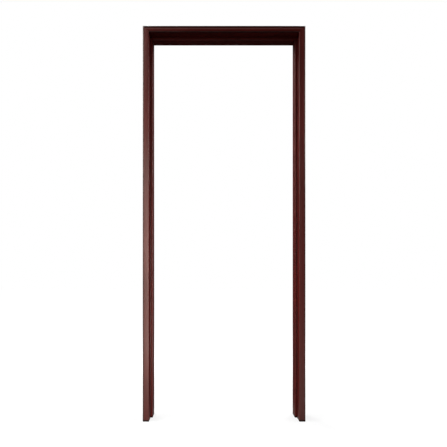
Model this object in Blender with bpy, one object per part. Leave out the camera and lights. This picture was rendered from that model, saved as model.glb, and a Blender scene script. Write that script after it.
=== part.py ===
"""A uPVC door frame: two jambs and a head cut from one hollow extrusion and mitred at the corners.

Metres, +Z up. The front, where the door leaf closes into the rebate, faces -Y. The origin is on the floor,
under the middle of the frame. Each side of the frame is modelled in a frame of its own: X runs from the wall
towards the doorway, Y from the front face to the back, and Z along the extrusion.
"""

import math

import bmesh
import bpy
from mathutils import Matrix, Vector

# The door leaf that the frame is made for, and the room round it
LEAF_WIDTH = 0.762
LEAF_HEIGHT = 1.981
LEAF_THICKNESS = 0.044
LEAF_GAP = 0.003
LEAF_FLOOR_GAP = 0.006
SEAL_SPACE = 0.004

# The extrusion
FRAME_DEPTH = 0.100
FACE_WIDTH = 0.032
STOP_PROJECTION = 0.012
WALL = 0.0028
WEB = 0.0018
OUTER_ROUND = 0.0015
EDGE_ROUND = 0.0050
ARRIS_ROUND = 0.0025
STOP_ROUND = 0.0020
REBATE_ROUND = 0.0008
CHAMBER_ROUND = 0.0010

# Three shallow keyways along the wall side, where filler and fixings take hold
KEYWAY_WIDTH = 0.012
KEYWAY_DEPTH = 0.0015

# Fine shadow lines along the doorway side of the stop
SHADOW_LINES = 3
SHADOW_LINE_SETBACK = 0.008
SHADOW_LINE_PITCH = 0.018
SHADOW_LINE_WIDTH = 0.0050
SHADOW_LINE_DEPTH = 0.0013

# The seal's groove in the front of the stop, and the seal
GROOVE_MOUTH = 0.0030
GROOVE_WIDTH = 0.0060
GROOVE_LIP = 0.0015
GROOVE_DEPTH = 0.0030
SEAL_WIDTH = 0.0054
SEAL_HEIGHT = 0.0050
SEAL_WALL = 0.0009
SEAL_FOOT_GAP = 0.002

# The steel channel inside each member
STEEL_SETBACK = 0.026
STEEL_DEPTH = 0.042
STEEL_THICKNESS = 0.0015
STEEL_LIP = 0.009
STEEL_BEND = 0.0012
STEEL_FOOT_GAP = 0.020
STEEL_KEY_GAP = 0.010

# The L-shaped key that joins the members at each corner
KEY_LEG = 0.110
KEY_WALL = 0.003
KEY_BOSS = 0.012
KEY_ROUND = 0.003
KEY_EDGE = 0.0006

# Countersunk screws, driven from the wall side through the middle keyway
SCREW_HEAD_RADIUS = 0.0038
SCREW_HEAD_RIM = 0.0004
SCREW_SHANK_RADIUS = 0.0020
SCREW_TIP = 0.0030
STEEL_SCREW_LENGTH = 0.013
STEEL_SCREW_INSET = 0.090
JAMB_SCREWS = 5
HEAD_SCREWS = 3
KEY_SCREW_LENGTH = 0.019
KEY_SCREW_FIRST = 0.060
KEY_SCREW_PITCH = 0.030

# How close neighbouring pieces lie, and how far a cutter starts before the face that it cuts
CLEARANCE = 0.0003
CUTTER_LEAD = 0.003

ARC_STEPS = 5
HIDDEN_ARC_STEPS = 2
SCREW_SIDES = 14
SHARP_ANGLE = math.radians(35)

# What follows from the sizes above
REBATE_DEPTH = LEAF_THICKNESS + SEAL_SPACE
FRAME_WIDTH = LEAF_WIDTH + 2 * (LEAF_GAP + FACE_WIDTH)
FRAME_HEIGHT = LEAF_FLOOR_GAP + LEAF_HEIGHT + LEAF_GAP + FACE_WIDTH
PROFILE_WIDTH = FACE_WIDTH + STOP_PROJECTION
GROOVE_CENTRE = FACE_WIDTH + STOP_PROJECTION / 2
GROOVE_FLOOR = REBATE_DEPTH + GROOVE_LIP + GROOVE_DEPTH
MITRE_SHIFT = CLEARANCE * math.sqrt(0.5)
CHAMBER_LOW = KEYWAY_DEPTH + WALL
CHAMBER_HIGH = FACE_WIDTH - WALL
STEEL_BACK = STEEL_SETBACK + STEEL_DEPTH
STEEL_MIDDLE = STEEL_SETBACK + STEEL_DEPTH / 2
INSERT_LOW = CHAMBER_LOW + CLEARANCE
INSERT_HIGH = CHAMBER_HIGH - CLEARANCE


def clear_scene():
    for old in list(bpy.data.objects):
        bpy.data.objects.remove(old, do_unlink=True)


def material(name, colour, roughness, metallic=0.0):
    made = bpy.data.materials.new(name)
    made.use_nodes = True
    shader = made.node_tree.nodes["Principled BSDF"]
    shader.inputs["Base Color"].default_value = (*colour, 1.0)
    shader.inputs["Roughness"].default_value = roughness
    shader.inputs["Metallic"].default_value = metallic
    made.diffuse_color = (*colour, 1.0)
    return made


def outline(corners, steps=ARC_STEPS):
    """The points of a closed outline. A corner is (x, y), or (x, y, radius) where it is rounded by an arc."""
    points = []
    for i, corner in enumerate(corners):
        here = Vector(corner[:2])
        radius = corner[2] if len(corner) > 2 else 0.0
        if not radius:
            points.append(here)
            continue
        back = Vector(corners[i - 1][:2]) - here
        ahead = Vector(corners[(i + 1) % len(corners)][:2]) - here
        half_angle = back.angle(ahead) / 2
        reach = min(radius / math.tan(half_angle), 0.49 * back.length, 0.49 * ahead.length)
        centre = here + (back.normalized() + ahead.normalized()).normalized() * reach / math.cos(half_angle)
        start = here + back.normalized() * reach - centre
        end = here + ahead.normalized() * reach - centre
        sweep = start.angle_signed(end)
        for step in range(steps + 1):
            turn = -sweep * step / steps
            points.append(centre + Vector((start.x * math.cos(turn) - start.y * math.sin(turn),
                                           start.x * math.sin(turn) + start.y * math.cos(turn))))
    return points


def rectangle(low_x, high_x, low_y, high_y, radius):
    corners = ((low_x, low_y), (high_x, low_y), (high_x, high_y), (low_x, high_y))
    return outline([(x, y, radius) for x, y in corners], HIDDEN_ARC_STEPS)


def extrusion(name, loops, low, high):
    """A prism along Z whose section lies between the first loop and the rest. low and high give the height of
    its two ends at each X, so an end can be cut square or on a mitre."""
    bm = bmesh.new()
    edges = []
    for loop in loops:
        corners = [bm.verts.new((point.x, point.y, 0.0)) for point in loop]
        edges += [bm.edges.new((corners[i - 1], corner)) for i, corner in enumerate(corners)]
    bmesh.ops.triangle_fill(bm, use_beauty=True, edges=edges)
    lower = list(bm.verts)
    raised = bmesh.ops.extrude_face_region(bm, geom=list(bm.faces))
    upper = [item for item in raised["geom"] if isinstance(item, bmesh.types.BMVert)]
    for vert in lower:
        vert.co.z = low(vert.co.x)
    for vert in upper:
        vert.co.z = high(vert.co.x)
    bmesh.ops.recalc_face_normals(bm, faces=list(bm.faces))
    return finished_mesh(bm, name)


def turned(name, profile):
    """A solid turned about Z from a profile of (radius, height) that starts and ends on the axis."""
    bm = bmesh.new()
    points = [bm.verts.new((radius, 0.0, height)) for radius, height in profile]
    edges = [bm.edges.new(pair) for pair in zip(points, points[1:])]
    bmesh.ops.spin(bm, geom=points + edges, axis=(0, 0, 1), cent=(0, 0, 0), angle=math.tau, steps=SCREW_SIDES)
    bmesh.ops.remove_doubles(bm, verts=list(bm.verts), dist=1e-6)
    bmesh.ops.recalc_face_normals(bm, faces=list(bm.faces))
    return finished_mesh(bm, name)


def finished_mesh(bm, name):
    mesh = bpy.data.meshes.new(name)
    bm.to_mesh(mesh)
    bm.free()
    mesh.shade_smooth()
    mesh.set_sharp_from_angle(angle=SHARP_ANGLE)
    return mesh


def place(name, mesh, finish, carrier, location=(0, 0, 0), rotation=(0, 0, 0)):
    piece = bpy.data.objects.new(name, mesh)
    if finish and not mesh.materials:
        mesh.materials.append(finish)
    bpy.context.collection.objects.link(piece)
    piece.parent = carrier
    piece.location = location
    piece.rotation_euler = rotation
    return piece


def cut(piece, cutter):
    boolean = piece.modifiers.new("cut by " + cutter.name, "BOOLEAN")
    boolean.operation = "DIFFERENCE"
    boolean.solver = "EXACT"
    boolean.object = cutter
    cutter.hide_render = True
    cutter.display_type = "WIRE"


def chamfer(piece, width):
    bevel = piece.modifiers.new("chamfer", "BEVEL")
    bevel.width = width
    bevel.segments = 1
    bevel.limit_method = "ANGLE"
    bevel.angle_limit = SHARP_ANGLE


def even_shading(piece):
    """Keeps the large flat faces round a cut looking flat."""
    weighted = piece.modifiers.new("even shading", "WEIGHTED_NORMAL")
    weighted.keep_sharp = True


def side_frame(name, location, turn):
    frame = bpy.data.objects.new(name, None)
    bpy.context.collection.objects.link(frame)
    frame.location = location
    frame.rotation_euler = (0, turn, 0)
    return frame


def keyway(middle):
    """The corners of one keyway in the wall side, from its back edge to its front edge."""
    front = middle - KEYWAY_WIDTH / 2
    back = middle + KEYWAY_WIDTH / 2
    return [(0, back), (KEYWAY_DEPTH, back), (KEYWAY_DEPTH, front), (0, front)]


def shadow_lines():
    """The corners of the shadow lines in the stop, from the front one to the back one."""
    corners = []
    for i in range(SHADOW_LINES):
        middle = REBATE_DEPTH + SHADOW_LINE_SETBACK + i * SHADOW_LINE_PITCH
        corners += [(PROFILE_WIDTH, middle - SHADOW_LINE_WIDTH / 2),
                    (PROFILE_WIDTH - SHADOW_LINE_DEPTH, middle),
                    (PROFILE_WIDTH, middle + SHADOW_LINE_WIDTH / 2)]
    return corners


def profile_section():
    """The outer outline of the extrusion, then its five chambers."""
    mouth = GROOVE_MOUTH / 2
    cavity = GROOVE_WIDTH / 2
    lip = REBATE_DEPTH + GROOVE_LIP
    front_web = STEEL_SETBACK - CLEARANCE
    back_web = STEEL_BACK + CLEARANCE
    outer = [
        (0, 0, EDGE_ROUND),
        (FACE_WIDTH, 0, ARRIS_ROUND),
        (FACE_WIDTH, REBATE_DEPTH, REBATE_ROUND),
        (GROOVE_CENTRE - mouth, REBATE_DEPTH),
        (GROOVE_CENTRE - mouth, lip),
        (GROOVE_CENTRE - cavity, lip),
        (GROOVE_CENTRE - cavity, GROOVE_FLOOR),
        (GROOVE_CENTRE + cavity, GROOVE_FLOOR),
        (GROOVE_CENTRE + cavity, lip),
        (GROOVE_CENTRE + mouth, lip),
        (GROOVE_CENTRE + mouth, REBATE_DEPTH),
        (PROFILE_WIDTH, REBATE_DEPTH, STOP_ROUND),
    ]
    outer += shadow_lines()
    outer += [
        (PROFILE_WIDTH, FRAME_DEPTH, STOP_ROUND),
        (0, FRAME_DEPTH, OUTER_ROUND),
    ]
    outer += keyway((back_web + WEB + FRAME_DEPTH - WALL) / 2)
    outer += keyway(STEEL_MIDDLE)
    outer += keyway((WALL + front_web - WEB) / 2)
    stop_low = CHAMBER_HIGH + WEB
    stop_high = PROFILE_WIDTH - WALL
    stop_front = GROOVE_FLOOR + WEB
    stop_back = FRAME_DEPTH - WALL
    stop_middle = (stop_front + stop_back) / 2
    chambers = [
        (CHAMBER_LOW, CHAMBER_HIGH, WALL, front_web - WEB),
        (CHAMBER_LOW, CHAMBER_HIGH, front_web, back_web),
        (CHAMBER_LOW, CHAMBER_HIGH, back_web + WEB, FRAME_DEPTH - WALL),
        (stop_low, stop_high, stop_front, stop_middle - WEB / 2),
        (stop_low, stop_high, stop_middle + WEB / 2, stop_back),
    ]
    return [outline(outer)] + [rectangle(*chamber, CHAMBER_ROUND) for chamber in chambers]


def seal_section():
    """A hollow bulb on the front of the stop, on a foot that is pushed into the groove."""
    stem = GROOVE_MOUTH / 2 - CLEARANCE
    foot = GROOVE_WIDTH / 2 - CLEARANCE
    bulb = SEAL_WIDTH / 2
    base = REBATE_DEPTH - CLEARANCE
    top = REBATE_DEPTH - SEAL_HEIGHT
    foot_front = REBATE_DEPTH + GROOVE_LIP + CLEARANCE
    foot_back = GROOVE_FLOOR - CLEARANCE
    half = [
        (foot, foot_back),
        (foot, foot_front),
        (stem, foot_front),
        (stem, base),
        (bulb, base),
        (bulb, top, 0.9 * bulb),
    ]
    across = [(-corner[0], *corner[1:]) for corner in reversed(half)]
    bore = bulb - SEAL_WALL
    skin = [(x + GROOVE_CENTRE, *rest) for x, *rest in half + across]
    hollow = rectangle(GROOVE_CENTRE - bore, GROOVE_CENTRE + bore,
                       top + SEAL_WALL, base - SEAL_WALL, 0.7 * bore)
    return [outline(skin), hollow]


def steel_section():
    """A lipped channel, its web against the wall side and its open side towards the doorway."""
    low, high = INSERT_LOW, INSERT_HIGH
    front, back = STEEL_SETBACK, STEEL_BACK
    inner = STEEL_BEND
    outer = STEEL_BEND + STEEL_THICKNESS
    return [outline([
        (low, front, outer),
        (high, front, outer),
        (high, front + STEEL_LIP),
        (high - STEEL_THICKNESS, front + STEEL_LIP),
        (high - STEEL_THICKNESS, front + STEEL_THICKNESS, inner),
        (low + STEEL_THICKNESS, front + STEEL_THICKNESS, inner),
        (low + STEEL_THICKNESS, back - STEEL_THICKNESS, inner),
        (high - STEEL_THICKNESS, back - STEEL_THICKNESS, inner),
        (high - STEEL_THICKNESS, back - STEEL_LIP),
        (high, back - STEEL_LIP),
        (high, back, outer),
        (low, back, outer),
    ], HIDDEN_ARC_STEPS)]


def member(name, section, length, mitred, finish, carrier, trim=(0.0, 0.0)):
    """A length cut from a section. mitred says for its start and its end whether it is cut at 45 degrees."""
    def low(x):
        return x + MITRE_SHIFT if mitred[0] else trim[0]

    def high(x):
        return length - x - MITRE_SHIFT if mitred[1] else length - trim[1]

    return place(name, extrusion(name, section, low, high), finish, carrier)


def screw_profile(length, grow=0.0, lead=0.0):
    """A countersunk screw from its head's top, at height 0, to its point. grow makes it the screw's hole."""
    cone = SCREW_HEAD_RADIUS - SCREW_SHANK_RADIUS
    return [
        (0, -lead),
        (SCREW_HEAD_RADIUS + grow, -lead),
        (SCREW_HEAD_RADIUS + grow, SCREW_HEAD_RIM),
        (SCREW_SHANK_RADIUS + grow, SCREW_HEAD_RIM + cone),
        (SCREW_SHANK_RADIUS + grow, length - SCREW_TIP + grow),
        (0, length + grow),
    ]


def screw_places(length, mitred, steel_span, steel_screws):
    """The screws' places along a member: those of the steel, then those of the corner keys."""
    first = steel_span[0] + STEEL_SCREW_INSET
    last = steel_span[1] - STEEL_SCREW_INSET
    steel = [first + (last - first) * i / (steel_screws - 1) for i in range(steel_screws)]
    corner = [KEY_SCREW_FIRST, KEY_SCREW_FIRST + KEY_SCREW_PITCH]
    keys = (corner if mitred[0] else []) + ([length - height for height in corner] if mitred[1] else [])
    return steel, keys


def key_mesh():
    """The corner key in its own frame: X and Z run along its two legs from the frame's outer corner."""
    corners = [
        (INSERT_LOW, INSERT_LOW, KEY_ROUND),
        (KEY_LEG, INSERT_LOW),
        (KEY_LEG, INSERT_HIGH),
        (INSERT_HIGH, INSERT_HIGH),
        (INSERT_HIGH, KEY_LEG),
        (INSERT_LOW, KEY_LEG),
    ]
    mesh = extrusion("corner key", [outline(corners, HIDDEN_ARC_STEPS)],
                     lambda x: STEEL_SETBACK, lambda x: STEEL_BACK)
    stand_up(mesh)
    return mesh


def key_pockets():
    """The pockets cast into the front of each leg, between the bosses that the screws bite in."""
    mouth = STEEL_SETBACK - CUTTER_LEAD
    floor = STEEL_BACK - KEY_WALL
    first = KEY_SCREW_FIRST
    second = KEY_SCREW_FIRST + KEY_SCREW_PITCH
    half_boss = KEY_BOSS / 2
    spans = [(INSERT_HIGH + KEY_WALL, first - half_boss),
             (first + half_boss, second - half_boss),
             (second + half_boss, KEY_LEG - KEY_WALL)]
    low = INSERT_LOW + KEY_WALL
    high = INSERT_HIGH - KEY_WALL
    bm = bmesh.new()
    for start, end in spans:
        for box in ((low, high, start, end), (start, end, low, high)):
            corners = [bm.verts.new((x, mouth, z))
                       for x, z in ((box[0], box[2]), (box[1], box[2]), (box[1], box[3]), (box[0], box[3]))]
            face = bm.faces.new(corners)
            pushed = bmesh.ops.extrude_face_region(bm, geom=[face])
            moved = [item for item in pushed["geom"] if isinstance(item, bmesh.types.BMVert)]
            bmesh.ops.translate(bm, vec=(0, floor - mouth, 0), verts=moved)
    bmesh.ops.recalc_face_normals(bm, faces=list(bm.faces))
    return finished_mesh(bm, "key pockets")


def stand_up(mesh):
    """Swaps a mesh's Y and Z, so that a section drawn in X and Y lies in X and Z."""
    for vert in mesh.vertices:
        vert.co = (vert.co.x, vert.co.z, vert.co.y)
    mesh.flip_normals()


def build_side(name, carrier, length, mitred, steel_screws, finishes, sections):
    """One side of the frame: its member, seal, steel and screws. Returns the cutter of its screw holes."""
    after_key = KEY_LEG + STEEL_KEY_GAP
    steel_trim = tuple(after_key if at_corner else STEEL_FOOT_GAP for at_corner in mitred)
    seal_trim = tuple(0.0 if at_corner else SEAL_FOOT_GAP for at_corner in mitred)
    square = (False, False)
    body = member(name, sections["profile"], length, mitred, finishes["foil"], carrier)
    member(name + "_seal", sections["seal"], length, mitred, finishes["seal"], carrier, seal_trim)
    steel = member(name + "_steel", sections["steel"], length, square, finishes["steel"], carrier, steel_trim)
    steel_span = (steel_trim[0], length - steel_trim[1])
    steel_heights, key_heights = screw_places(length, mitred, steel_span, steel_screws)
    holes = bmesh.new()
    for label, heights, screw_length in (("_screw_", steel_heights, STEEL_SCREW_LENGTH),
                                         ("_key_screw_", key_heights, KEY_SCREW_LENGTH)):
        screw = turned("screw", screw_profile(screw_length))
        hole = turned("hole", screw_profile(screw_length, CLEARANCE, CUTTER_LEAD))
        for i, height in enumerate(heights):
            seat = (KEYWAY_DEPTH, STEEL_MIDDLE, height)
            place(f"{name}{label}{i + 1}", screw, finishes["screw"], carrier, seat, (0, math.pi / 2, 0))
            drilled = hole.copy()
            drilled.transform(Matrix.Translation(seat) @ Matrix.Rotation(math.pi / 2, 4, "Y"))
            holes.from_mesh(drilled)
    cutter = place(name + " screw holes", finished_mesh(holes, name + " screw holes"), None, carrier)
    for piece in (body, steel):
        cut(piece, cutter)
        even_shading(piece)
    return cutter


def build_frame():
    finishes = {
        "foil": material("mahogany foil", (0.078, 0.017, 0.011), 0.42),
        "seal": material("brown seal", (0.032, 0.011, 0.008), 0.65),
        "steel": material("galvanised steel", (0.46, 0.47, 0.48), 0.45, 1.0),
        "key": material("cast aluminium", (0.55, 0.55, 0.56), 0.50, 1.0),
        "screw": material("zinc plate", (0.62, 0.60, 0.55), 0.30, 1.0),
    }
    sections = {"profile": profile_section(), "seal": seal_section(), "steel": steel_section()}
    half_width = FRAME_WIDTH / 2
    front = -FRAME_DEPTH / 2
    left = side_frame("left side", (-half_width, front, 0), 0.0)
    top = side_frame("top side", (-half_width, front, FRAME_HEIGHT), math.pi / 2)
    right = side_frame("right side", (half_width, front, FRAME_HEIGHT), math.pi)
    shared = (finishes, sections)
    left_holes = build_side("left_jamb", left, FRAME_HEIGHT, (False, True), JAMB_SCREWS, *shared)
    top_holes = build_side("head", top, FRAME_WIDTH, (True, True), HEAD_SCREWS, *shared)
    right_holes = build_side("right_jamb", right, FRAME_HEIGHT, (True, False), JAMB_SCREWS, *shared)
    key = key_mesh()
    pockets = key_pockets()
    for name, corner, side_holes in (("left_corner_key", top, left_holes),
                                     ("right_corner_key", right, right_holes)):
        piece = place(name, key, finishes["key"], corner)
        chamfer(piece, KEY_EDGE)
        cut(piece, place(name + " pockets", pockets, None, corner))
        cut(piece, side_holes)
        cut(piece, top_holes)
        even_shading(piece)


clear_scene()
build_frame()
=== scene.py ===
"""The looks of the uPVC door frame: mahogany wood-look foil on brown profile, in a plain white studio.

Metres, +Z up, in the same frame as the model. The side with the rebate faces -Y. Across the section of a
member, "inward" is the distance from its wall side towards the doorway, and "back" is the distance behind
its front face. Colours are linear. A pair of numbers says where something begins and ends, or its least
and its most.
"""

import math

import bpy
from mathutils import Matrix, Vector


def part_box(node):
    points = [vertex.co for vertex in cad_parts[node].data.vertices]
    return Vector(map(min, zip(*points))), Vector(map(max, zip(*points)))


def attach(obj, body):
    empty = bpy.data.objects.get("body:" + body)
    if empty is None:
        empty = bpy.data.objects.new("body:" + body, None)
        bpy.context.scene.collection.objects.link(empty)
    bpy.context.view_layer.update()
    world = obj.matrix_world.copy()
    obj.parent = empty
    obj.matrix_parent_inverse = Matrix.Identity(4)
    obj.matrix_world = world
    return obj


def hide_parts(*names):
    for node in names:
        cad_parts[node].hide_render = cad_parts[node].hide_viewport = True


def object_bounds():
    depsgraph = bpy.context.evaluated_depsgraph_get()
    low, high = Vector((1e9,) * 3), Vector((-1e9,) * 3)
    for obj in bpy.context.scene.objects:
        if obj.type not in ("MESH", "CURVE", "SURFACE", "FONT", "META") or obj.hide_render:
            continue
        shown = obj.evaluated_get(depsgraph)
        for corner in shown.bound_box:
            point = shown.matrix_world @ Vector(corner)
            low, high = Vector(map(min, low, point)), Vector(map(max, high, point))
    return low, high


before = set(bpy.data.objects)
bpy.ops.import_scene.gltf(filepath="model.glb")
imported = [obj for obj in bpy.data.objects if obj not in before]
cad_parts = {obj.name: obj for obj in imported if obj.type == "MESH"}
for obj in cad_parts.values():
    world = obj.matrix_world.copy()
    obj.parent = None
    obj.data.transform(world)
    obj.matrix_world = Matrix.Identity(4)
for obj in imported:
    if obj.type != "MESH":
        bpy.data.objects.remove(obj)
model_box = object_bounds()

# Sizes of the model
LOW, HIGH = model_box
HALF_WIDTH = HIGH.x
HEIGHT = HIGH.z
FRONT = LOW.y
DEPTH = HIGH.y - LOW.y
STOP_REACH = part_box("left_jamb")[1].x - LOW.x
FACE_REACH = 0.032
REBATE_BACK = 0.048

# The screws: the head's rim and cone, the neck, the core with a thread wound round it, and the point
SCREW_SIDES = 36
SCREW_HEAD = 0.0038
SCREW_NECK = 0.0017
SCREW_CORE = 0.0014
SCREW_POINT = 0.00008
RIM_HEIGHT = 0.0004
CONE_HEIGHT = 0.0021
NECK_HEIGHT = 0.0003
TIP_HEIGHT = 0.0030
EDGE_BEVEL = 0.00009
BEVEL_SEGMENTS = 2
BEVEL_ANGLE = 40
SMOOTH_ANGLE = 32
THREAD_RADIUS = 0.0015
THREAD_RIDGE = 0.0004
THREAD_PITCH = 0.0011
THREAD_START = 0.0034
THREAD_STEPS = 12

# The cross recess in a screw's head: its reach and width, how deep it goes, how far its cutter stands out
# above the head, and the share of its length and width that is left at its floor
RECESS_REACH = 0.0021
RECESS_WIDTH = 0.0009
RECESS_DEPTH = 0.0015
RECESS_ABOVE = 0.0007
RECESS_FLOOR = (0.45, 0.6, 1.0)

# Each screw stands turned by so many degrees more than the one before it. Its cross repeats each quarter.
DRIVE_TURN = 37
QUARTER = 90

# Where the foil ends: it wraps a little way round onto the wall side, and covers what shows
FOIL_WRAP = 0.006
SKIN = 0.002

# The mahogany grain: how many times longer than wide each pattern is, and how it is mixed
FIGURE_STRETCH = 9.0
STREAK_STRETCH = 40.0
PORE_STRETCH = 28.0
DRAW_LINE_STRETCH = 200.0
GRAIN_WANDER = 0.012
FIGURE_SHARE = 0.55
STREAK_SHARE = 0.45
PORES = (0.58, 0.70)
PORE_SHARE = 0.75
WOOD_TONES = ((0.30, (0.042, 0.0021, 0.0016)), (0.47, (0.066, 0.0034, 0.0025)),
              (0.60, (0.086, 0.0050, 0.0037)), (0.74, (0.118, 0.0088, 0.0064)))
PORE_TONE = (0.019, 0.0014, 0.0012, 1.0)
PLAIN_TONES = ((0.35, (0.034, 0.0070, 0.0050)), (0.65, (0.046, 0.0100, 0.0072)))

# The foil's surface: its gloss on the head and the jambs, its sheen's colour, roughness and embossing
HEAD_GLOSS = 0.25
JAMB_GLOSS = 0.5
WARM_SHEEN = (1.0, 0.88, 0.78, 1.0)
SATIN_ROUGHNESS = (0.34, 0.43)
PLAIN_ROUGHNESS = 0.60
STREAK_RELIEF = 0.5
EMBOSS_STRENGTH = 0.35
EMBOSS_HEIGHT = 0.00012

# Painted light on the foil: a painted highlight in a pale band along the head's front, and painted shade
# along the outer edges of the head and the jambs and along the head's inner edge
PAINTED_HIGHLIGHT = 0.24
HIGHLIGHT_TONE = (0.17, 0.140, 0.125, 1.0)
HIGHLIGHT_OUTER_SIDE = (0.0115, 0.0135)
HIGHLIGHT_INNER_SIDE = (0.0160, 0.0185)
FRONT_ENDS = (0.0030, 0.0080)
HEAD_OUTER_SHADE_BAND = (0.0080, 0.0125)
HEAD_INNER_SHADE_BAND = (0.0220, 0.0275)
HEAD_EDGE_SHADE = 0.85
JAMB_SHADE_BAND = (0.0050, 0.0090)
JAMB_EDGE_SHADE = 0.60
EDGE_SHADE_TONE = (0.012, 0.0008, 0.0007, 1.0)

# The front falls away very slightly over this width, to this slope at the outer edge
CUSHION = 0.024
CUSHION_SLOPE = 0.08

# Painted shade at the cut feet: darker and rougher a little way up, to a ragged line
FOOT_SHADE = 0.96
FOOT_SHADE_LINE = (0.009, 0.015)
FOOT_SHADE_RAGGED = 0.008
FOOT_SHADE_TONE = (0.006, 0.0012, 0.0010, 1.0)
FOOT_SHADE_ROUGHNESS = 0.95

# The other finishes: tones at their positions in a pattern, roughness, and how strongly the grit shows
SEAL_GLOSS = 0.12
SEAL_TONES = ((0.35, (0.064, 0.0030, 0.0023)), (0.65, (0.088, 0.0044, 0.0034)))
SEAL_ROUGHNESS = (0.54, 0.68)
SEAL_GRIT = 0.2
STEEL_TONES = ((0.0, (0.36, 0.375, 0.39)), (1.0, (0.55, 0.56, 0.57)))
STEEL_ROUGHNESS = (0.34, 0.52)
SPANGLE_SCALE = 160.0
CAST_TONES = ((0.3, (0.48, 0.48, 0.49)), (0.7, (0.60, 0.60, 0.61)))
CAST_ROUGHNESS = (0.42, 0.60)
CAST_GRIT = 0.3
PLATE_TONES = ((0.3, (0.50, 0.50, 0.47)), (0.7, (0.68, 0.67, 0.63)))
PLATE_ROUGHNESS = (0.24, 0.36)
GRIT_HEIGHT = 0.0001

# Most of a noise pattern lies between these values
NOISE_RANGE = (0.3, 0.7)

# The room: its white to the camera, the strength of its fill light, and how dim reflections see it
WHITE = (1.0, 1.0, 1.0, 1.0)
FILL_LEVEL = 0.045
GLOSS_LEVEL = 0.012

# The floor. Near the frame it glows less than white, so that the frame's shadow shows on it. Reflections
# see it glow in front of the frame and dull behind it.
FLOOR_SIZE = 16.0
FLOOR_COLOUR = (0.16, 0.16, 0.16, 1.0)
FLOOR_DULL = (0.01, 0.01, 0.01, 1.0)
FLOOR_GLOW = 0.72
GLOW_FADE = (0.50, 1.15)
FRONT_GLOSS = 0.52
FRONT_TO_BACK = (-0.3, 0.3)

# The softboxes: name, place, aim, width, height, power, and the angle in degrees that their light spreads
# over. Three in front of the left jamb give it its sheen, those at the sides, above and in front give the
# even light, and two behind the frame light its back.
SOFTBOXES = (
    ("sheen_foot", (-0.30, -1.35, 0.17), (-0.35, 0.0, 0.17), 0.60, 0.30, 2.7, 90),
    ("sheen_middle", (-0.42, -1.35, 0.80), (-0.35, 0.0, 0.75), 0.30, 0.50, 1.32, 75),
    ("sheen_top", (-0.72, -1.35, 1.35), (-0.35, 0.0, 1.10), 0.30, 0.80, 0.72, 75),
    ("side_left", (-1.95, -0.35, 2.25), (-0.20, 0.0, 0.50), 1.10, 1.30, 20.0, 90),
    ("side_right", (1.95, -0.35, 2.25), (0.20, 0.0, 0.25), 1.10, 1.30, 9.0, 90),
    ("far_left", (-3.20, -0.60, 2.45), (0.38, 0.0, 1.20), 1.00, 1.00, 3.0, 60),
    ("far_right", (3.20, -0.60, 2.45), (-0.38, 0.0, 1.40), 1.00, 1.00, 9.0, 60),
    ("high_left", (-1.60, -1.10, 2.90), (-0.10, 0.0, 1.40), 1.20, 0.95, 6.0, 85),
    ("front", (-0.10, -3.20, 1.60), (0.0, 0.0, 1.00), 1.20, 1.20, 1.6, 60),
    ("back_left", (-1.70, 1.80, 5.30), (0.0, 0.0, 0.60), 1.20, 1.20, 26.0, 60),
    ("back_right", (1.70, 1.80, 5.30), (0.0, 0.0, 0.60), 1.20, 1.20, 26.0, 60),
)

# The camera looks level at the frame, from a little below half its height and a little to the left
EYE = (-0.067, FRONT - 1.86, 0.829)
LENS = 29.34
SENSOR = 36.0
SHIFT_RIGHT = 0.028
SHIFT_UP = 0.080


# Shader nodes

def feed(tree, made, inputs):
    """Sets a node's inputs, each to a plain value or to the socket that feeds it."""
    for name, value in inputs.items():
        if isinstance(value, bpy.types.NodeSocket):
            tree.links.new(value, made.inputs[name])
        else:
            made.inputs[name].default_value = value


def node(tree, kind, inputs, **settings):
    """Adds a node with these inputs and settings."""
    made = tree.nodes.new(kind)
    for name, value in settings.items():
        setattr(made, name, value)
    feed(tree, made, inputs)
    return made


def calc(tree, operation, *values):
    """Works two or more values together with one operation, from the first to the last."""
    result = values[0]
    for value in values[1:]:
        result = node(tree, "ShaderNodeMath", {0: result, 1: value}, operation=operation).outputs[0]
    return result


def vector_calc(tree, operation, inputs):
    return node(tree, "ShaderNodeVectorMath", inputs, operation=operation).outputs[0]


def mix_value(tree, share, first, second):
    return node(tree, "ShaderNodeMix", {0: share, 2: first, 3: second}).outputs[0]


def mix_colour(tree, share, first, second):
    return node(tree, "ShaderNodeMix", {0: share, 6: first, 7: second}, data_type="RGBA").outputs[2]


def ramp(tree, value, stops):
    """A colour ramp with stops of (position, colour)."""
    made = node(tree, "ShaderNodeValToRGB", {0: value})
    elements = made.color_ramp.elements
    while len(elements) < len(stops):
        elements.new(0.5)
    for element, (position, colour) in zip(elements, stops):
        element.position = position
        element.color = (*colour, 1.0)
    return made.outputs["Color"]


def spread(tree, value, low, high, to_low=0.0, to_high=1.0):
    """Maps a range of values onto another, smoothly and clamped."""
    made = node(tree, "ShaderNodeMapRange", {0: value, 1: low, 2: high, 3: to_low, 4: to_high},
                interpolation_type="SMOOTHSTEP")
    return made.outputs[0]


def noise(tree, place, scale, detail=2.0, roughness=0.5, distortion=0.0):
    made = node(tree, "ShaderNodeTexNoise", {"Vector": place, "Scale": scale, "Detail": detail,
                                             "Roughness": roughness, "Distortion": distortion})
    return made.outputs["Fac"]


def drawn_out(tree, place, along, times):
    """The place, squeezed along one axis, so that a pattern on it is drawn out along that axis."""
    scales = [1.0, 1.0, 1.0]
    scales[along] = 1.0 / times
    return vector_calc(tree, "MULTIPLY", {0: place, 1: scales})


def split(tree, place):
    return node(tree, "ShaderNodeSeparateXYZ", {0: place}).outputs


def bump(tree, height, strength, distance, under=None):
    """The normal of a surface that a height presses in and out, starting from the normal under it."""
    inputs = {"Height": height, "Strength": strength, "Distance": distance}
    if under is not None:
        inputs["Normal"] = under
    return node(tree, "ShaderNodeBump", inputs).outputs["Normal"]


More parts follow.
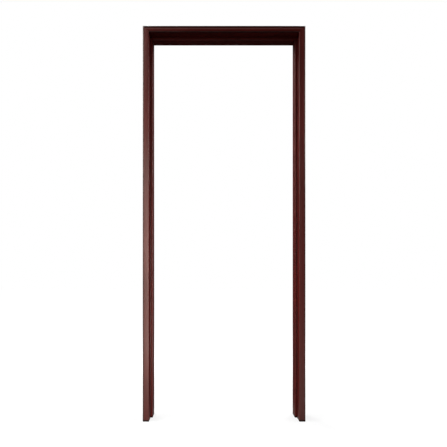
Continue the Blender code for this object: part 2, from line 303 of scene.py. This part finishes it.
def new_material(name, metallic=0.0):
    """A material with its tree, its shader, and the place on the object that its patterns follow."""
    made = bpy.data.materials.new(name)
    made.use_nodes = True
    tree = made.node_tree
    shader = tree.nodes["Principled BSDF"]
    shader.inputs["Metallic"].default_value = metallic
    place = node(tree, "ShaderNodeTexCoord", {}).outputs["Object"]
    return made, tree, shader, place


# The foil

def section_place(tree, place, is_head):
    """How far inward and how far back a point lies in its member's section."""
    axes = split(tree, place)
    if is_head:
        inward = calc(tree, "SUBTRACT", HEIGHT, axes["Z"])
    else:
        from_middle = node(tree, "ShaderNodeMath", {0: axes["X"]}, operation="ABSOLUTE").outputs[0]
        inward = calc(tree, "SUBTRACT", HALF_WIDTH, from_middle)
    back = calc(tree, "SUBTRACT", axes["Y"], FRONT)
    return inward, back


def bare_profile(tree, inward, back):
    """1 where no foil is: inside the section, in the seal's groove, and on the wall side past the wrap."""
    from_back = calc(tree, "SUBTRACT", DEPTH, back)
    from_face_end = calc(tree, "SUBTRACT", FACE_REACH, inward)
    from_stop_end = calc(tree, "SUBTRACT", STOP_REACH, inward)
    from_rebate = calc(tree, "SUBTRACT", back, REBATE_BACK)
    under_face = calc(tree, "MINIMUM", inward, from_face_end, back, from_back)
    under_stop = calc(tree, "MINIMUM", inward, from_stop_end, from_rebate, from_back)
    inside = calc(tree, "GREATER_THAN", calc(tree, "MAXIMUM", under_face, under_stop), SKIN)
    wall_side = calc(tree, "LESS_THAN", inward, SKIN)
    past_wrap = calc(tree, "GREATER_THAN", calc(tree, "MINIMUM", back, from_back), FOIL_WRAP)
    return calc(tree, "MAXIMUM", inside, calc(tree, "MULTIPLY", wall_side, past_wrap))


def foot_shade(tree, place):
    """Nearly 1 at the cut feet, and 0 above a ragged line: where the painted shade goes."""
    ragged = calc(tree, "MULTIPLY", noise(tree, place, scale=220.0, detail=3.0, roughness=0.6), FOOT_SHADE_RAGGED)
    height = calc(tree, "ADD", split(tree, place)["Z"], ragged)
    return spread(tree, height, *FOOT_SHADE_LINE, FOOT_SHADE, 0.0)


def wood_grain(tree, place, along):
    """The grain's colour, its streaks, and 1 in its pores."""
    figure = noise(tree, drawn_out(tree, place, along, FIGURE_STRETCH), scale=20.0, detail=3.0,
                   roughness=0.55, distortion=0.4)
    wander = vector_calc(tree, "SCALE", {0: figure, "Scale": GRAIN_WANDER})
    wavy = vector_calc(tree, "ADD", {0: drawn_out(tree, place, along, STREAK_STRETCH), 1: wander})
    streaks = noise(tree, wavy, scale=360.0, detail=4.0, roughness=0.62)
    pores = spread(tree, noise(tree, drawn_out(tree, place, along, PORE_STRETCH), scale=1400.0), *PORES)
    tone = calc(tree, "ADD", calc(tree, "MULTIPLY", figure, FIGURE_SHARE),
                calc(tree, "MULTIPLY", streaks, STREAK_SHARE))
    pore_share = calc(tree, "MULTIPLY", pores, PORE_SHARE)
    return mix_colour(tree, pore_share, ramp(tree, tone, WOOD_TONES), PORE_TONE), streaks, pores


def head_highlight_and_shade(tree, grain, inward, back):
    """Paints a pale highlight in a band along the head's front, and painted shade along both its edges."""
    at_front = spread(tree, back, *FRONT_ENDS, 1.0, 0.0)
    # Painted highlight: a pale band along the head's front
    highlight_mask = calc(tree, "MULTIPLY", spread(tree, inward, *HIGHLIGHT_OUTER_SIDE),
                  spread(tree, inward, *HIGHLIGHT_INNER_SIDE, PAINTED_HIGHLIGHT, 0.0), at_front)
    highlighted = mix_colour(tree, highlight_mask, grain, HIGHLIGHT_TONE)
    # Painted shade along the head's outer edge and, on its front, along its inner edge
    outer_shade = spread(tree, calc(tree, "ADD", inward, back), *HEAD_OUTER_SHADE_BAND, HEAD_EDGE_SHADE, 0.0)
    inner_shade = spread(tree, inward, *HEAD_INNER_SHADE_BAND, 0.0, HEAD_EDGE_SHADE)
    turn = calc(tree, "MAXIMUM", outer_shade, calc(tree, "MULTIPLY", inner_shade, at_front))
    return mix_colour(tree, turn, highlighted, EDGE_SHADE_TONE)


def jamb_edge_shade(tree, grain, inward, back):
    """Paints shade on the jambs' foil along its outer edge."""
    # Painted shade along the outer edge
    turn = spread(tree, calc(tree, "ADD", inward, back), *JAMB_SHADE_BAND, JAMB_EDGE_SHADE, 0.0)
    return mix_colour(tree, turn, grain, EDGE_SHADE_TONE)


def cushion_normal(tree, inward):
    """The normal of a front that falls away towards its outer edge."""
    short = calc(tree, "MAXIMUM", calc(tree, "SUBTRACT", CUSHION, inward), 0.0)
    fall = calc(tree, "MULTIPLY", calc(tree, "POWER", short, 2.0), -CUSHION_SLOPE / (2 * CUSHION))
    return bump(tree, fall, strength=1.0, distance=1.0)


def mahogany_foil(name, is_head):
    """Satin embossed foil with a straight mahogany grain along the member, on brown profile."""
    made, tree, shader, place = new_material(name)
    along = 0 if is_head else 2
    inward, back = section_place(tree, place, is_head)
    bare = bare_profile(tree, inward, back)
    # Painted shade at the cut feet
    foot_shading = foot_shade(tree, place)

    grain, streaks, pores = wood_grain(tree, place, along)
    # The painted highlight and painted shade along the edges of the members
    paint_edge_light = head_highlight_and_shade if is_head else jamb_edge_shade
    draw_lines = noise(tree, drawn_out(tree, place, along, DRAW_LINE_STRETCH), scale=900.0)
    plain = ramp(tree, draw_lines, PLAIN_TONES)
    before_foot_shade = mix_colour(tree, bare, paint_edge_light(tree, grain, inward, back), plain)

    satin = spread(tree, streaks, *NOISE_RANGE, *SATIN_ROUGHNESS)
    rough = mix_value(tree, foot_shading, mix_value(tree, bare, satin, PLAIN_ROUGHNESS), FOOT_SHADE_ROUGHNESS)

    pressed = calc(tree, "SUBTRACT", calc(tree, "MULTIPLY", streaks, STREAK_RELIEF), pores)
    relief = mix_value(tree, bare, pressed, draw_lines)
    normal = bump(tree, relief, EMBOSS_STRENGTH, EMBOSS_HEIGHT, cushion_normal(tree, inward))
    feed(tree, shader, {"Base Color": mix_colour(tree, foot_shading, before_foot_shade, FOOT_SHADE_TONE), "Roughness": rough,
                        "Normal": normal, "Specular Tint": WARM_SHEEN,
                        "Specular IOR Level": HEAD_GLOSS if is_head else JAMB_GLOSS})
    return made


# The other finishes

def seal_rubber():
    """Soft brown rubber, a little duller than the foil, with a fine grit."""
    made, tree, shader, place = new_material("brown_seal_rubber")
    before_foot_shade = ramp(tree, noise(tree, place, scale=35.0, detail=3.0), SEAL_TONES)
    grit = noise(tree, place, scale=1500.0, detail=3.0, roughness=0.6)
    # The seal too is darkened by the painted shade at the cut feet
    feed(tree, shader, {"Base Color": mix_colour(tree, foot_shade(tree, place), before_foot_shade, FOOT_SHADE_TONE),
                        "Roughness": spread(tree, grit, *NOISE_RANGE, *SEAL_ROUGHNESS),
                        "Normal": bump(tree, grit, SEAL_GRIT, GRIT_HEIGHT),
                        "Specular Tint": WARM_SHEEN, "Specular IOR Level": SEAL_GLOSS})
    return made


def galvanised_steel():
    """Zinc coat with a spangle of crystals."""
    made, tree, shader, place = new_material("galvanised_steel_finish", metallic=1.0)
    crystals = node(tree, "ShaderNodeTexVoronoi", {"Vector": place, "Scale": SPANGLE_SCALE,
                                                   "Randomness": 1.0})
    tone = node(tree, "ShaderNodeSeparateColor", {0: crystals.outputs["Color"]}).outputs[0]
    feed(tree, shader, {"Base Color": ramp(tree, tone, STEEL_TONES),
                        "Roughness": spread(tree, tone, 0.0, 1.0, *STEEL_ROUGHNESS)})
    return made


def cast_aluminium():
    """Die-cast grey with a faint grit."""
    made, tree, shader, place = new_material("cast_aluminium_finish", metallic=1.0)
    grit = noise(tree, place, scale=1100.0, detail=3.0, roughness=0.6)
    feed(tree, shader, {"Base Color": ramp(tree, noise(tree, place, scale=40.0), CAST_TONES),
                        "Roughness": spread(tree, grit, *NOISE_RANGE, *CAST_ROUGHNESS),
                        "Normal": bump(tree, grit, CAST_GRIT, GRIT_HEIGHT)})
    return made


def zinc_plate():
    """Clear zinc plate, faintly mottled."""
    made, tree, shader, place = new_material("zinc_plate_finish", metallic=1.0)
    mottle = noise(tree, place, scale=500.0, detail=3.0, roughness=0.6)
    feed(tree, shader, {"Base Color": ramp(tree, mottle, PLATE_TONES),
                        "Roughness": spread(tree, mottle, *NOISE_RANGE, *PLATE_ROUGHNESS)})
    return made


def finish_model(zinc):
    """Gives each node of the model its finish, by the first of these parts that its name holds."""
    finishes = (("_screw_", zinc), ("_corner_key", cast_aluminium()), ("_steel", galvanised_steel()),
                ("_seal", seal_rubber()), ("_jamb", mahogany_foil("mahogany_foil_upright", False)),
                ("head", mahogany_foil("mahogany_foil_across", True)))
    for name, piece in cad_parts.items():
        finish = next(made for part, made in finishes if part in name)
        for place in piece.material_slots:
            place.material = finish


# The screws

def pick(*pieces):
    """Selects only these pieces, or nothing, and makes the first of them the active one."""
    bpy.ops.object.select_all(action="DESELECT")
    for piece in pieces:
        piece.select_set(True)
    if pieces:
        bpy.context.view_layer.objects.active = pieces[0]


def settle():
    """Works the selected piece's place, turn and scale into its mesh."""
    bpy.ops.object.transform_apply(location=True, rotation=True, scale=True)


def apply_modifier(kind, **settings):
    """Adds a modifier to the active object and applies it."""
    made = bpy.context.object.modifiers.new(kind.lower(), kind)
    for name, value in settings.items():
        setattr(made, name, value)
    bpy.ops.object.modifier_apply(modifier=made.name)


def pick_faces(piece, wanted):
    """Goes into edit mode on the active piece with only the wanted faces selected."""
    bpy.ops.object.mode_set(mode="EDIT")
    bpy.ops.mesh.select_mode(type="FACE")
    bpy.ops.mesh.select_all(action="DESELECT")
    bpy.ops.object.mode_set(mode="OBJECT")
    for face in piece.data.polygons:
        face.select = wanted(face)
    bpy.ops.object.mode_set(mode="EDIT")


def screw_thread(length):
    """A triangular ridge wound round the shank, from under the head to the start of the point."""
    pick()
    bpy.ops.mesh.primitive_circle_add(vertices=3, radius=THREAD_RIDGE, rotation=(math.pi / 2, 0, 0),
                                      location=(THREAD_RADIUS, 0, -THREAD_START))
    settle()
    turns = int((length - THREAD_START - TIP_HEIGHT) / THREAD_PITCH)
    apply_modifier("SCREW", angle=math.tau, screw_offset=-THREAD_PITCH, iterations=turns,
                   steps=THREAD_STEPS, render_steps=THREAD_STEPS)
    bpy.ops.object.mode_set(mode="EDIT")
    bpy.ops.mesh.select_all(action="SELECT")
    bpy.ops.mesh.fill_holes(sides=3)
    bpy.ops.mesh.normals_make_consistent(inside=False)
    bpy.ops.object.mode_set(mode="OBJECT")
    return bpy.context.object


def recess_cutter(turn):
    """One wing of a cross recess: a slot that narrows towards its floor."""
    pick()
    bpy.ops.mesh.primitive_cube_add(size=1.0, location=(0, 0, (RECESS_ABOVE - RECESS_DEPTH) / 2),
                                    scale=(2 * RECESS_REACH, RECESS_WIDTH, RECESS_ABOVE + RECESS_DEPTH))
    settle()
    wing = bpy.context.object
    pick_faces(wing, lambda face: face.normal.z < -0.5)
    bpy.ops.transform.resize(value=RECESS_FLOOR, center_override=(0, 0, 0))
    bpy.ops.object.mode_set(mode="OBJECT")
    wing.rotation_euler.z = turn
    settle()
    return wing


def countersunk_screw(length):
    """A screw at the origin: the top of its head on Z = 0 with a cross recess, its point down -Z."""
    pick()
    bpy.ops.mesh.primitive_circle_add(vertices=SCREW_SIDES, radius=SCREW_HEAD, fill_type="NGON",
                                      location=(0, 0, 0))
    bpy.ops.object.mode_set(mode="EDIT")
    bpy.ops.mesh.select_all(action="SELECT")
    core_height = length - RIM_HEIGHT - CONE_HEIGHT - NECK_HEIGHT - TIP_HEIGHT
    radius = SCREW_HEAD
    for drop, next_radius in ((RIM_HEIGHT, SCREW_HEAD), (CONE_HEIGHT, SCREW_NECK), (NECK_HEIGHT, SCREW_CORE),
                              (core_height, SCREW_CORE), (TIP_HEIGHT, SCREW_POINT)):
        bpy.ops.mesh.extrude_region_move(TRANSFORM_OT_translate={"value": (0, 0, -drop)})
        times = next_radius / radius
        bpy.ops.transform.resize(value=(times, times, 1.0), center_override=(0, 0, 0))
        radius = next_radius
    bpy.ops.mesh.select_all(action="SELECT")
    bpy.ops.mesh.normals_make_consistent(inside=False)
    bpy.ops.object.mode_set(mode="OBJECT")
    screw = bpy.context.object
    for turn in (0.0, math.pi / 2):
        cutter = recess_cutter(turn)
        pick(screw)
        apply_modifier("BOOLEAN", operation="DIFFERENCE", solver="EXACT", object=cutter)
        bpy.data.objects.remove(cutter)
    apply_modifier("BEVEL", width=EDGE_BEVEL, segments=BEVEL_SEGMENTS, limit_method="ANGLE",
                   angle_limit=math.radians(BEVEL_ANGLE))
    thread = screw_thread(length)
    pick(screw, thread)
    bpy.ops.object.join()
    bpy.ops.object.shade_smooth_by_angle(angle=math.radians(SMOOTH_ANGLE))
    return screw


def place_screw(master, node_name, turn, finish):
    """Puts a copy of the master in the place of one of the model's screws, its head towards the wall."""
    low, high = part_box(node_name)
    middle = (low + high) / 2
    if node_name.startswith("head"):
        seat, tilt = (middle.x, middle.y, high.z), 0.0
    elif middle.x < 0:
        seat, tilt = (low.x, middle.y, middle.z), -math.pi / 2
    else:
        seat, tilt = (high.x, middle.y, middle.z), math.pi / 2
    screw = bpy.data.objects.new("zinc_" + node_name, master.data.copy())
    bpy.context.collection.objects.link(screw)
    screw.data.materials.append(finish)
    screw.location = seat
    screw.rotation_euler = (Matrix.Rotation(tilt, 3, "Y") @ Matrix.Rotation(turn, 3, "Z")).to_euler()
    pick(screw)
    settle()
    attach(screw, "root")
    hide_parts(node_name)


def drive_screws(finish):
    """Puts a threaded screw with a cross recess in the place of each plain one."""
    masters = {}
    names = sorted(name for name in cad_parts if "_screw_" in name)
    for i, name in enumerate(names):
        low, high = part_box(name)
        length = round(max(high - low), 4)
        if length not in masters:
            masters[length] = countersunk_screw(length)
        place_screw(masters[length], name, math.radians(DRIVE_TURN * i % QUARTER), finish)
    for master in masters.values():
        bpy.data.objects.remove(master)


# The studio

def ray_kinds(tree):
    """1 for what the camera sees, straight or through something clear, and 1 for reflections."""
    path = node(tree, "ShaderNodeLightPath", {}).outputs
    seen = calc(tree, "MAXIMUM", path["Is Camera Ray"], path["Is Transmission Ray"])
    return seen, path["Is Glossy Ray"]


def white_world():
    """White to the camera, a dim room to reflections, and a weak fill for the rest."""
    world = bpy.data.worlds.new("studio_room")
    world.use_nodes = True
    bpy.context.scene.world = world
    tree = world.node_tree
    seen, glossy = ray_kinds(tree)
    unseen = mix_value(tree, glossy, FILL_LEVEL, GLOSS_LEVEL)
    feed(tree, tree.nodes["Background"], {"Color": WHITE, "Strength": mix_value(tree, seen, unseen, 1.0)})


def pale_floor():
    """White to the camera save for the frame's soft shadow, and grey paint to the light that it sends on."""
    pick()
    bpy.ops.mesh.primitive_plane_add(size=FLOOR_SIZE, location=(0, 0, 0))
    floor = bpy.context.object
    floor.name = "studio_floor"
    made = bpy.data.materials.new("pale_floor")
    made.use_nodes = True
    tree = made.node_tree
    tree.nodes.clear()
    place = node(tree, "ShaderNodeTexCoord", {}).outputs["Object"]
    seen, glossy = ray_kinds(tree)
    away = node(tree, "ShaderNodeVectorMath", {0: place}, operation="LENGTH").outputs["Value"]
    glow = spread(tree, away, *GLOW_FADE, FLOOR_GLOW, 1.0)
    ahead = spread(tree, split(tree, place)["Y"], *FRONT_TO_BACK, 1.0, 0.0)
    gloss = calc(tree, "MULTIPLY", glossy, mix_value(tree, ahead, GLOSS_LEVEL, FRONT_GLOSS))
    strength = calc(tree, "MAXIMUM", calc(tree, "MULTIPLY", glow, seen), gloss)
    dull = calc(tree, "MULTIPLY", glossy, calc(tree, "SUBTRACT", 1.0, ahead))
    paint = node(tree, "ShaderNodeBsdfDiffuse", {"Color": mix_colour(tree, dull, FLOOR_COLOUR, FLOOR_DULL)})
    shine = node(tree, "ShaderNodeEmission", {"Color": WHITE, "Strength": strength})
    both = node(tree, "ShaderNodeAddShader", {0: paint.outputs[0], 1: shine.outputs[0]})
    node(tree, "ShaderNodeOutputMaterial", {"Surface": both.outputs[0]})
    floor.data.materials.append(made)


def softbox(name, place, aim, width, height, power, angle):
    data = bpy.data.lights.new(name, "AREA")
    data.shape = "RECTANGLE"
    data.size = width
    data.size_y = height
    data.energy = power
    data.spread = math.radians(angle)
    lamp = bpy.data.objects.new(name, data)
    bpy.context.collection.objects.link(lamp)
    lamp.location = place
    lamp.rotation_euler = (Vector(aim) - Vector(place)).to_track_quat("-Z", "Y").to_euler()
    lamp.visible_camera = False


def level_camera():
    data = bpy.data.cameras.new("camera")
    data.sensor_width = SENSOR
    data.lens = LENS
    data.shift_x = SHIFT_RIGHT
    data.shift_y = SHIFT_UP
    camera = bpy.data.objects.new("camera", data)
    bpy.context.collection.objects.link(camera)
    camera.location = EYE
    camera.rotation_euler = (math.pi / 2, 0, 0)
    bpy.context.scene.camera = camera


zinc_finish = zinc_plate()
drive_screws(zinc_finish)
finish_model(zinc_finish)
white_world()
pale_floor()
for box in SOFTBOXES:
    softbox(*box)
level_camera()
bpy.context.scene.view_settings.view_transform = "Standard"
